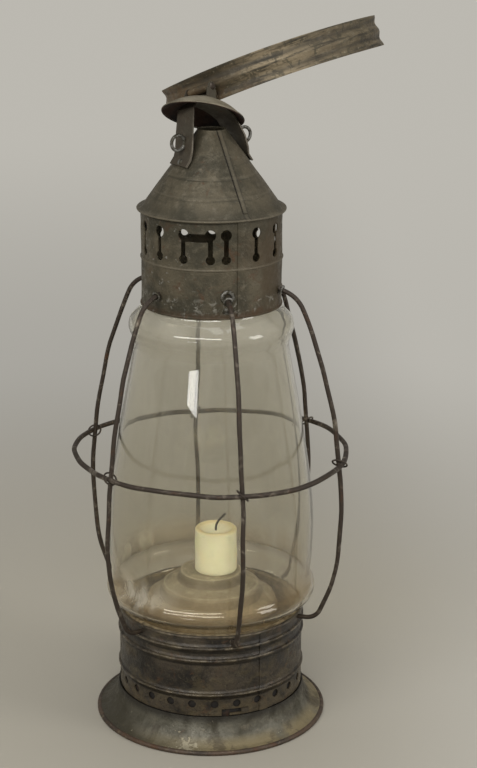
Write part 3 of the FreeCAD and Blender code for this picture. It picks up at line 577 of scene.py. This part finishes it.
def blown_glass(f, c):
    """Clear old glass with a thin film of dust and smoke, thicker at both ends, and a whitish deposit with a
    painted reflection low on the left; shadows pass through it.
    """
    ripple = f.noise(15.0, 3.0, 0.45, stretch=(1, 1, 0.35))
    clear = f.add("ShaderNodeBsdfPrincipled", {},
                  {"Base Color": (*c.glass, 1.0), "Transmission Weight": 1.0, "IOR": 1.48,
                   "Roughness": 0.012, "Normal": f.bump(ripple, 0.35, 0.0022)})
    z = f.axis(2)
    smears = f.noise(30.0, 6.0, 0.65, 1.0, stretch=(1, 1, 0.45), shift=(4, 2, 6))
    film_base = f.mix(f.step(z, 0.140, 0.100), c.film_dust, c.film_smoke)
    # Whitish deposit with a painted reflection, low on the left
    lime = f.step(f.axis(0), -0.010, -0.055) * f.near(z, 0.108, 0.022)
    film_base = f.mix(lime * f.step(smears, 0.44, 0.58), film_base, c.film_lime_and_reflection)
    film = f.add("ShaderNodeBsdfPrincipled", {}, {"Base Color": film_base, "Roughness": 0.75})
    low_end = f.step(z, 0.128, 0.106) * f.step(z, 0.094, 0.101, 0.25, 1.0) * 0.26
    high_end = f.step(z, 0.272, 0.300) * 0.16
    ends = (low_end + high_end) * f.step(smears, 0.26, 0.60)
    specks = f.step(f.noise(520.0, 3.0, shift=(1, 8, 3)), 0.66, 0.74) * 0.14
    dust = f.step(smears, 0.45, 0.75) * 0.10 + ends + specks + lime * 0.16 + 0.02
    worn = f.add("ShaderNodeMixShader", {}, {0: dust.clamped(), 1: clear, 2: film})
    shadow = f.add("ShaderNodeLightPath", {}, {}, "Is Shadow Ray")
    through = f.add("ShaderNodeBsdfTransparent", {}, {"Color": (*c.glass, 1.0)})
    return f.surface(f.add("ShaderNodeMixShader", {}, {0: shadow * 0.92, 1: worn, 2: through}))


def floor_paper(f, c):
    """Warm grey paper with painted light, paler to the right; near the lantern it keeps the real shadow, and
    farther off it glows with a painted tone, darker toward the lantern, that stays pale far off.
    """
    near = tuple(v * w for v, w in zip(c.backdrop, (0.80, 0.78, 0.73)))
    base = f.mix(f.step(f.noise(1.6, 3.0), 0.3, 0.7), near, tuple(v * 0.96 for v in near))
    lit_side = f.step(f.axis(0), 0.05, 0.26) * 0.8
    base = f.mix(lit_side, base, c.backdrop)
    paper = f.add("ShaderNodeBsdfPrincipled", {}, {"Base Color": base, "Roughness": 0.92})
    reach = f.reach(f.place)
    # Painted shade: the glow darker toward the lantern
    tone = f.mix(f.step(reach, 0.5, 2.6), tuple(v * 0.76 for v in c.backdrop), c.backdrop)
    tone = f.mix(lit_side, tone, c.backdrop)
    # The floor glows with the painted tone to camera, glossy and transmission rays away from the lantern
    glow = f.add("ShaderNodeEmission", {}, {"Color": tone, "Strength": 1.0})
    seen = [f.add("ShaderNodeLightPath", {}, {}, ray)
            for ray in ("Is Camera Ray", "Is Glossy Ray", "Is Transmission Ray")]
    share = f.step(reach, 0.22, 0.95) * (seen[0] + seen[1] + seen[2]).clamped()
    return f.surface(f.add("ShaderNodeMixShader", {}, {0: share, 1: paper, 2: glow}))


# Mesh helpers

def outline_smooth(points, per_span=6):
    """A smooth outline through (radius, height) points, in metres."""
    pts = [Vector(p) for p in points]
    pts = [pts[0] * 2 - pts[1]] + pts + [pts[-1] * 2 - pts[-2]]
    out = []
    for a, b, c, d in zip(pts, pts[1:], pts[2:], pts[3:]):
        for i in range(per_span):
            t = i / per_span
            out.append(0.5 * ((2 * b) + (c - a) * t + (2 * a - 5 * b + 4 * c - d) * t ** 2
                              + (3 * b - a - 3 * c + d) * t ** 3))
    out.append(pts[-2])
    return out


def sheet_outline(outer, wall):
    """Closes an open outline into a sheet by adding its other side, wall to the inside."""
    inner = []
    for i, p in enumerate(outer):
        run = outer[min(i + 1, len(outer) - 1)] - outer[max(i - 1, 0)]
        run.normalize()
        inner.append(p + Vector((-run.y, run.x)) * wall)
    return outer + inner[::-1]


def spun(outline, steps, closed=True):
    """Spins an outline of (radius, height) about Z into a bmesh."""
    bm = bmesh.new()
    verts = [bm.verts.new((p[0], 0.0, p[1])) for p in outline]
    pairs = list(zip(verts, verts[1:]))
    if closed:
        pairs.append((verts[-1], verts[0]))
    edges = [bm.edges.new(pair) for pair in pairs]
    bmesh.ops.spin(bm, geom=verts + edges, cent=(0, 0, 0), axis=(0, 0, 1), angle=FULL_TURN,
                   steps=steps, use_merge=True, use_duplicate=False)
    bmesh.ops.remove_doubles(bm, verts=bm.verts[:], dist=1e-7)
    bmesh.ops.recalc_face_normals(bm, faces=bm.faces[:])
    return bm


def wire_loop(major, minor, steps=40, around=14):
    """A closed loop of round wire about Z."""
    outline = []
    for i in range(around):
        a = FULL_TURN * i / around
        outline.append((major + minor * math.cos(a), minor * math.sin(a)))
    return spun(outline, steps)


def copied(node):
    """A merged copy of a CAD node's mesh."""
    bm = bmesh.new()
    bm.from_mesh(NODES[node].data)
    bmesh.ops.remove_doubles(bm, verts=bm.verts[:], dist=2e-6)
    return bm


def refined(bm, longest):
    """Cuts long edges until none is over the given length, so that a copy can take dents."""
    for _ in range(6):
        long_edges = [e for e in bm.edges if e.calc_length() > longest]
        if not long_edges:
            break
        bmesh.ops.subdivide_edges(bm, edges=long_edges, cuts=1)
        bmesh.ops.triangulate(bm, faces=[f for f in bm.faces if len(f.verts) > 3])


def dented(bm, depth, scale, seed, above=-1.0, centre=(0.0, 0.0)):
    """Pushes both sides of a sheet in and out together by smooth noise, from a height up."""
    for v in bm.verts:
        if v.co.z < above:
            continue
        out = Vector((v.co.x - centre[0], v.co.y - centre[1], 0.0))
        if out.length < 1e-6:
            continue
        out.normalize()
        place = v.co * scale + Vector((seed, seed * 2.0, seed * 3.0))
        v.co += out * (noise.noise(place) * depth + noise.noise(place * 3.1) * depth * 0.35)


def piece(name, bm, finish, body, slot, *nodes, angle=35.0):
    """Ends a piece: mesh, smooth faces with sharp creases, finish, body and the nodes it stands for."""
    mesh = bpy.data.meshes.new(name)
    limit = math.radians(angle)
    for face in bm.faces:
        face.smooth = True
    for edge in bm.edges:
        edge.smooth = not (len(edge.link_faces) == 2 and edge.calc_face_angle(0.0) > limit)
    bm.to_mesh(mesh)
    bm.free()
    obj = bpy.data.objects.new(name, mesh)
    bpy.context.scene.collection.objects.link(obj)
    mesh.materials.append(finish_of(finish))
    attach(obj, body)
    if nodes:
        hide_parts(*nodes)
    return obj


def node_slot(node):
    return next(s["material_slot"] for s in frame["record"]["subparts"] if s["node"] == node)


def node_body(node):
    return next(b for b, members in frame["record"]["behaviour"]["bodies"].items() if node in members)


def dressed(node, finish):
    """A CAD node's own shape, merged and smooth shaded, with its finish."""
    return piece(node + "_dressed", copied(node), finish, node_body(node), node_slot(node), node)


def beaten(node, finish, depth, scale, seed, longest=0.004, above=-1.0, centre=(0.0, 0.0)):
    """A CAD node's own shape with the dents of use."""
    bm = copied(node)
    refined(bm, longest)
    dented(bm, depth, scale, seed, above, centre)
    return piece(node + "_beaten", bm, finish, node_body(node), node_slot(node), node, angle=40.0)


def sizes():
    return bpy.context.scene.lantern_sizes


def wandering(bm, depth, low, high, fade, scale=13.0, seed=7):
    """Lets the free length of the cage between two heights wander, by one smooth field for all its wires."""
    # Without a seed the field follows the clock
    noise.seed_set(seed)
    for v in bm.verts:
        free = min((v.co.z - low) / fade, (high - v.co.z) / fade, 1.0)
        if free > 0.0:
            place = v.co * scale
            drift = noise.noise_vector(place) + 0.4 * noise.noise_vector(place * 3.0)
            v.co += depth * free * drift


# Operators, one for each piece or group of like pieces

class LanternOperator:
    """What all the lantern's operators share"""
    bl_options = {"REGISTER", "UNDO"}


class LANTERN_OT_foot(LanternOperator, bpy.types.Operator):
    """Flared foot with its wired rim, and the neck and lugs inside the drum"""
    bl_idname = "lantern.foot"
    bl_label = "Foot"

    BELL_MM = ((80.5, 2.7), (76.0, 4.0), (71.6, 8.0), (68.4, 14.5))
    NECK_RADIUS_MM = 66.6

    def execute(self, context):
        s = sizes()
        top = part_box("foot_skirt")[1].z
        bell = [(r * MM, z * MM) for r, z in self.BELL_MM] + [(self.NECK_RADIUS_MM * MM, top)]
        bm = spun(sheet_outline(outline_smooth(bell), s.sheet), s.spin_steps)
        dented(bm, s.tin_dent, scale=34.0, seed=2.0)
        piece("foot_bell", bm, foot_tin, "foot", "foot_tin", "foot_skirt")
        dressed("foot_rim_wire", rim_iron)
        dressed("foot_neck", sooty_tin)
        dressed("bayonet_lugs", strap_tin)
        return {"FINISHED"}


class LANTERN_OT_drum(LanternOperator, bpy.types.Operator):
    """Drum with its beads, air holes and lap seam"""
    bl_idname = "lantern.drum"
    bl_label = "Drum"

    DENTS_ABOVE = 0.047

    def execute(self, context):
        beaten("base_drum", drum_tin, sizes().tin_dent, scale=30.0, seed=3.0, above=self.DENTS_ABOVE)
        dressed("lower_globe_bed", stained_plaster)
        return {"FINISHED"}


class LANTERN_OT_candle(LanternOperator, bpy.types.Operator):
    """Stepped tray, pricket, candle stub and burnt wick"""
    bl_idname = "lantern.candle"
    bl_label = "Candle and tray"

    TRAY_CREASE = 18.0
    WAX_DENT = 0.0007
    WAX_FOOT = 0.109
    WAX_AXIS = (0.0035, 0.0)

    def execute(self, context):
        piece("candle_tray_steps", copied("candle_tray"), tray_tin, "foot", "tray_tin", "candle_tray",
              angle=self.TRAY_CREASE)
        dressed("candle_pricket", tray_tin)
        beaten("candle", candle_wax, self.WAX_DENT, scale=55.0, seed=4.0, longest=0.003,
               above=self.WAX_FOOT, centre=self.WAX_AXIS)
        dressed("wick", burnt_wick)
        return {"FINISHED"}


class LANTERN_OT_globe(LanternOperator, bpy.types.Operator):
    """Blown glass globe and the plaster above it"""
    bl_idname = "lantern.globe"
    bl_label = "Globe"

    OUTLINE_MM = (
        (61.0, 76.5), (61.3, 82.5), (66.0, 87.0), (72.3, 91.2), (74.2, 95.7), (73.4, 99.8),
        (71.4, 103.0), (70.8, 107.0), (71.3, 113.0), (71.9, 120.0), (72.7, 141.0), (71.6, 163.0),
        (68.4, 188.0), (63.4, 220.0), (57.8, 250.0), (54.2, 269.0), (53.6, 275.5), (55.4, 281.5),
        (57.0, 287.0), (55.9, 292.5), (51.4, 297.4), (47.4, 300.6), (46.2, 304.5), (46.2, 311.0))

    def execute(self, context):
        s = sizes()
        outer = outline_smooth([(r * MM, z * MM) for r, z in self.OUTLINE_MM], 5)
        bm = spun(sheet_outline(outer, s.glass_wall), s.spin_steps)
        piece("globe_blown", bm, blown_glass, "lantern", "globe_glass", "globe", angle=60.0)
        dressed("upper_globe_bed", stained_plaster)
        return {"FINISHED"}


class LANTERN_OT_vent_band(LanternOperator, bpy.types.Operator):
    """Pierced vent band"""
    bl_idname = "lantern.vent_band"
    bl_label = "Vent band"

    def execute(self, context):
        beaten("vent_band", band_tin, sizes().tin_dent, scale=34.0, seed=6.0)
        return {"FINISHED"}


class LANTERN_OT_hood(LanternOperator, bpy.types.Operator):
    """Conical hood with its flared lip and seam"""
    bl_idname = "lantern.hood"
    bl_label = "Hood"

    def execute(self, context):
        beaten("hood_cone", hood_tin, sizes().tin_dent * 1.6, scale=30.0, seed=8.0)
        return {"FINISHED"}


class LANTERN_OT_cap(LanternOperator, bpy.types.Operator):
    """Smoke cap, its strap, rivets and the two wire ears"""
    bl_idname = "lantern.cap"
    bl_label = "Smoke cap"

    def execute(self, context):
        dressed("smoke_cap", cap_tin)
        dressed("cap_strap", strap_tin)
        dressed("cap_solder_pad", grey_wire)
        dressed("strap_rivets", grey_wire)
        dressed("left_bail_ear", grey_wire)
        dressed("right_bail_ear", grey_wire)
        dressed("handle_saddle", strap_tin)
        dressed("handle_pivot_wire", cage_iron)
        return {"FINISHED"}


class LANTERN_OT_handle(LanternOperator, bpy.types.Operator):
    """Fluted ring handle and its hinge leaf"""
    bl_idname = "lantern.handle"
    bl_label = "Ring handle"

    RADIUS = 0.079
    WIDTH = 0.0215
    FLUTE = 0.0015
    WALL = 0.0012
    ACROSS = 40
    BOW_WAY = Vector((-0.948, -0.025, -0.316))
    BOW_HELD = 0.37

    def flute(self, across):
        return self.RADIUS - self.FLUTE / 2 * (1 - math.cos(4 * math.pi * across / self.WIDTH))

    def execute(self, context):
        s = sizes()
        places = [self.WIDTH * (i / self.ACROSS - 0.5) for i in range(self.ACROSS + 1)]
        outer = [Vector((self.flute(w), w)) for w in places]
        bm = spun(sheet_outline(outer, self.WALL), s.spin_steps * 2)
        dented(bm, s.handle_dent, scale=30.0, seed=5.0)
        lean = RING_NORMAL.cross(HINGE_AXIS)
        bow_way = Vector((self.BOW_WAY.dot(HINGE_AXIS), self.BOW_WAY.dot(lean), 0.0)).normalized()
        for v in bm.verts:
            share = bow_way.dot(v.co) / self.RADIUS
            v.co.z += s.handle_bow * (self.BOW_HELD - share ** 2)
        turn = Matrix((HINGE_AXIS, lean, RING_NORMAL)).transposed().to_4x4()
        bmesh.ops.transform(bm, matrix=Matrix.Translation(RING_CENTRE) @ turn, verts=bm.verts[:])
        piece("ring_handle_band", bm, handle_tin, "handle", "handle_tin", "ring_handle")
        dressed("handle_leaf", handle_tin)
        dressed("handle_rivets", grey_wire)
        return {"FINISHED"}


class LANTERN_OT_cage(LanternOperator, bpy.types.Operator):
    """Bowed guard wires, the hoop round them, ties and staples, and the mended front hook"""
    bl_idname = "lantern.cage"
    bl_label = "Wire cage"

    FREE_FROM = 0.088
    FREE_TO = 0.292
    FREE_FADE = 0.02
    HOOK_AZIMUTH = 13.5
    # Name, reach from the axis, height, lean in degrees and radius of each loop, lengths in millimetres
    HOOK_LOOPS = (("front_eyelet", 49.0, 318.0, 0.0, 3.7), ("front_hook", 51.6, 309.6, 52.0, 2.9))

    def hook(self):
        wall = Matrix.Rotation(math.radians(self.HOOK_AZIMUTH), 4, "Z")
        for name, reach, height, lean, radius in self.HOOK_LOOPS:
            bm = wire_loop(radius * MM, sizes().hook_wire)
            tilt = Matrix.Rotation(math.radians(90.0 + lean), 4, "X")
            place = wall @ Matrix.Translation((0.0, -reach * MM, height * MM)) @ tilt
            bmesh.ops.transform(bm, matrix=place, verts=bm.verts[:])
            piece(name, bm, grey_wire, "lantern", "soft_wire")

    def execute(self, context):
        free = sorted(n for n in NODES if n.startswith("guard_") and n != "guard_staples")
        for node in free:
            bm = copied(node)
            wandering(bm, sizes().wire_wave, self.FREE_FROM, self.FREE_TO, self.FREE_FADE)
            piece(node + "_wire", bm, cage_iron, "lantern", node_slot(node), node)
        dressed("guard_staples", grey_wire)
        self.hook()
        return {"FINISHED"}


class LANTERN_OT_stage(LanternOperator, bpy.types.Operator):
    """Pale floor, soft lights and the camera"""
    bl_idname = "lantern.stage"
    bl_label = "Stage"

    FLOOR_HALF = 14.0
    MIDDLE = (0, 0, 0.25)
    LOW_MIDDLE = (0, 0, 0.2)
    SKY_TINT = (1.0, 0.97, 0.91)
    SKY_STRENGTH = 0.30

    def floor(self):
        bm = bmesh.new()
        bmesh.ops.create_grid(bm, x_segments=8, y_segments=8, size=self.FLOOR_HALF)
        mesh = bpy.data.meshes.new("paper_floor")
        bm.to_mesh(mesh)
        bm.free()
        obj = bpy.data.objects.new("paper_floor", mesh)
        bpy.context.scene.collection.objects.link(obj)
        mesh.materials.append(finish_of(floor_paper))

    def lamp(self, name, place, aim, size, power, tint=(1.0, 1.0, 1.0)):
        light = bpy.data.lights.new(name, "AREA")
        light.shape = "RECTANGLE"
        light.size, light.size_y = size
        light.energy = power
        light.color = tint
        obj = bpy.data.objects.new(name, light)
        obj.location = place
        obj.rotation_euler = (Vector(aim) - Vector(place)).to_track_quat("-Z", "Y").to_euler()
        bpy.context.scene.collection.objects.link(obj)

    def lights(self):
        self.lamp("key_window", (-0.62, -1.70, 1.50), self.MIDDLE, (2.6, 0.36), 35.0, (1.0, 0.985, 0.95))
        self.lamp("side_window", (1.55, -0.70, 0.80), self.MIDDLE, (0.6, 0.8), 9.0, (1.0, 0.98, 0.95))
        self.lamp("low_strip", (-0.66, -1.48, 0.365), self.MIDDLE, (0.40, 0.06), 0.6)
        self.lamp("top_sheet", (0.1, 0.1, 1.9), self.LOW_MIDDLE, (1.2, 0.9), 7.0)

    def sky(self):
        world = bpy.data.worlds.new("studio")
        world.use_nodes = True
        background = world.node_tree.nodes["Background"]
        background.inputs["Color"].default_value = (*self.SKY_TINT, 1.0)
        background.inputs["Strength"].default_value = self.SKY_STRENGTH
        return world

    def camera(self):
        camera = bpy.data.cameras.new("photo_camera")
        camera.sensor_fit = "VERTICAL"
        camera.sensor_height = 36.0
        camera.lens = FOCAL_PX * camera.sensor_height / FRAME_HEIGHT_PX
        obj = bpy.data.objects.new("photo_camera", camera)
        tilt = Matrix.Rotation(math.pi / 2 - CAMERA_PITCH, 4, "X") @ Matrix.Rotation(CAMERA_ROLL, 4, "Z")
        obj.matrix_world = Matrix.Translation(CAMERA_PLACE) @ tilt
        bpy.context.scene.collection.objects.link(obj)
        return obj

    def execute(self, context):
        self.floor()
        self.lights()
        context.scene.world = self.sky()
        context.scene.camera = self.camera()
        context.scene.view_settings.view_transform = "Standard"
        return {"FINISHED"}


OPERATORS = (LANTERN_OT_stage, LANTERN_OT_foot, LANTERN_OT_drum, LANTERN_OT_candle, LANTERN_OT_globe,
             LANTERN_OT_vent_band, LANTERN_OT_hood, LANTERN_OT_cap, LANTERN_OT_handle, LANTERN_OT_cage)


class LANTERN_PT_panel(bpy.types.Panel):
    """Lists the lantern's pieces in the sidebar"""
    bl_label = "Candle Lantern"
    bl_space_type = "VIEW_3D"
    bl_region_type = "UI"
    bl_category = "Lantern"

    def draw(self, context):
        for operator in OPERATORS:
            self.layout.operator(operator.bl_idname)
        for group in (context.scene.lantern_sizes, context.scene.lantern_colours):
            for name in group.__annotations__:
                self.layout.prop(group, name)


CLASSES = (LanternSizes, LanternColours, *OPERATORS, LANTERN_PT_panel)


def register():
    for cls in CLASSES:
        bpy.utils.register_class(cls)
    bpy.types.Scene.lantern_sizes = PointerProperty(type=LanternSizes)
    bpy.types.Scene.lantern_colours = PointerProperty(type=LanternColours)


def unregister():
    del bpy.types.Scene.lantern_colours
    del bpy.types.Scene.lantern_sizes
    for cls in reversed(CLASSES):
        bpy.utils.unregister_class(cls)


def main():
    register()
    for operator in OPERATORS:
        group, name = operator.bl_idname.split(".")
        getattr(getattr(bpy.ops, group), name)()


if __name__ == "__main__":
    main()
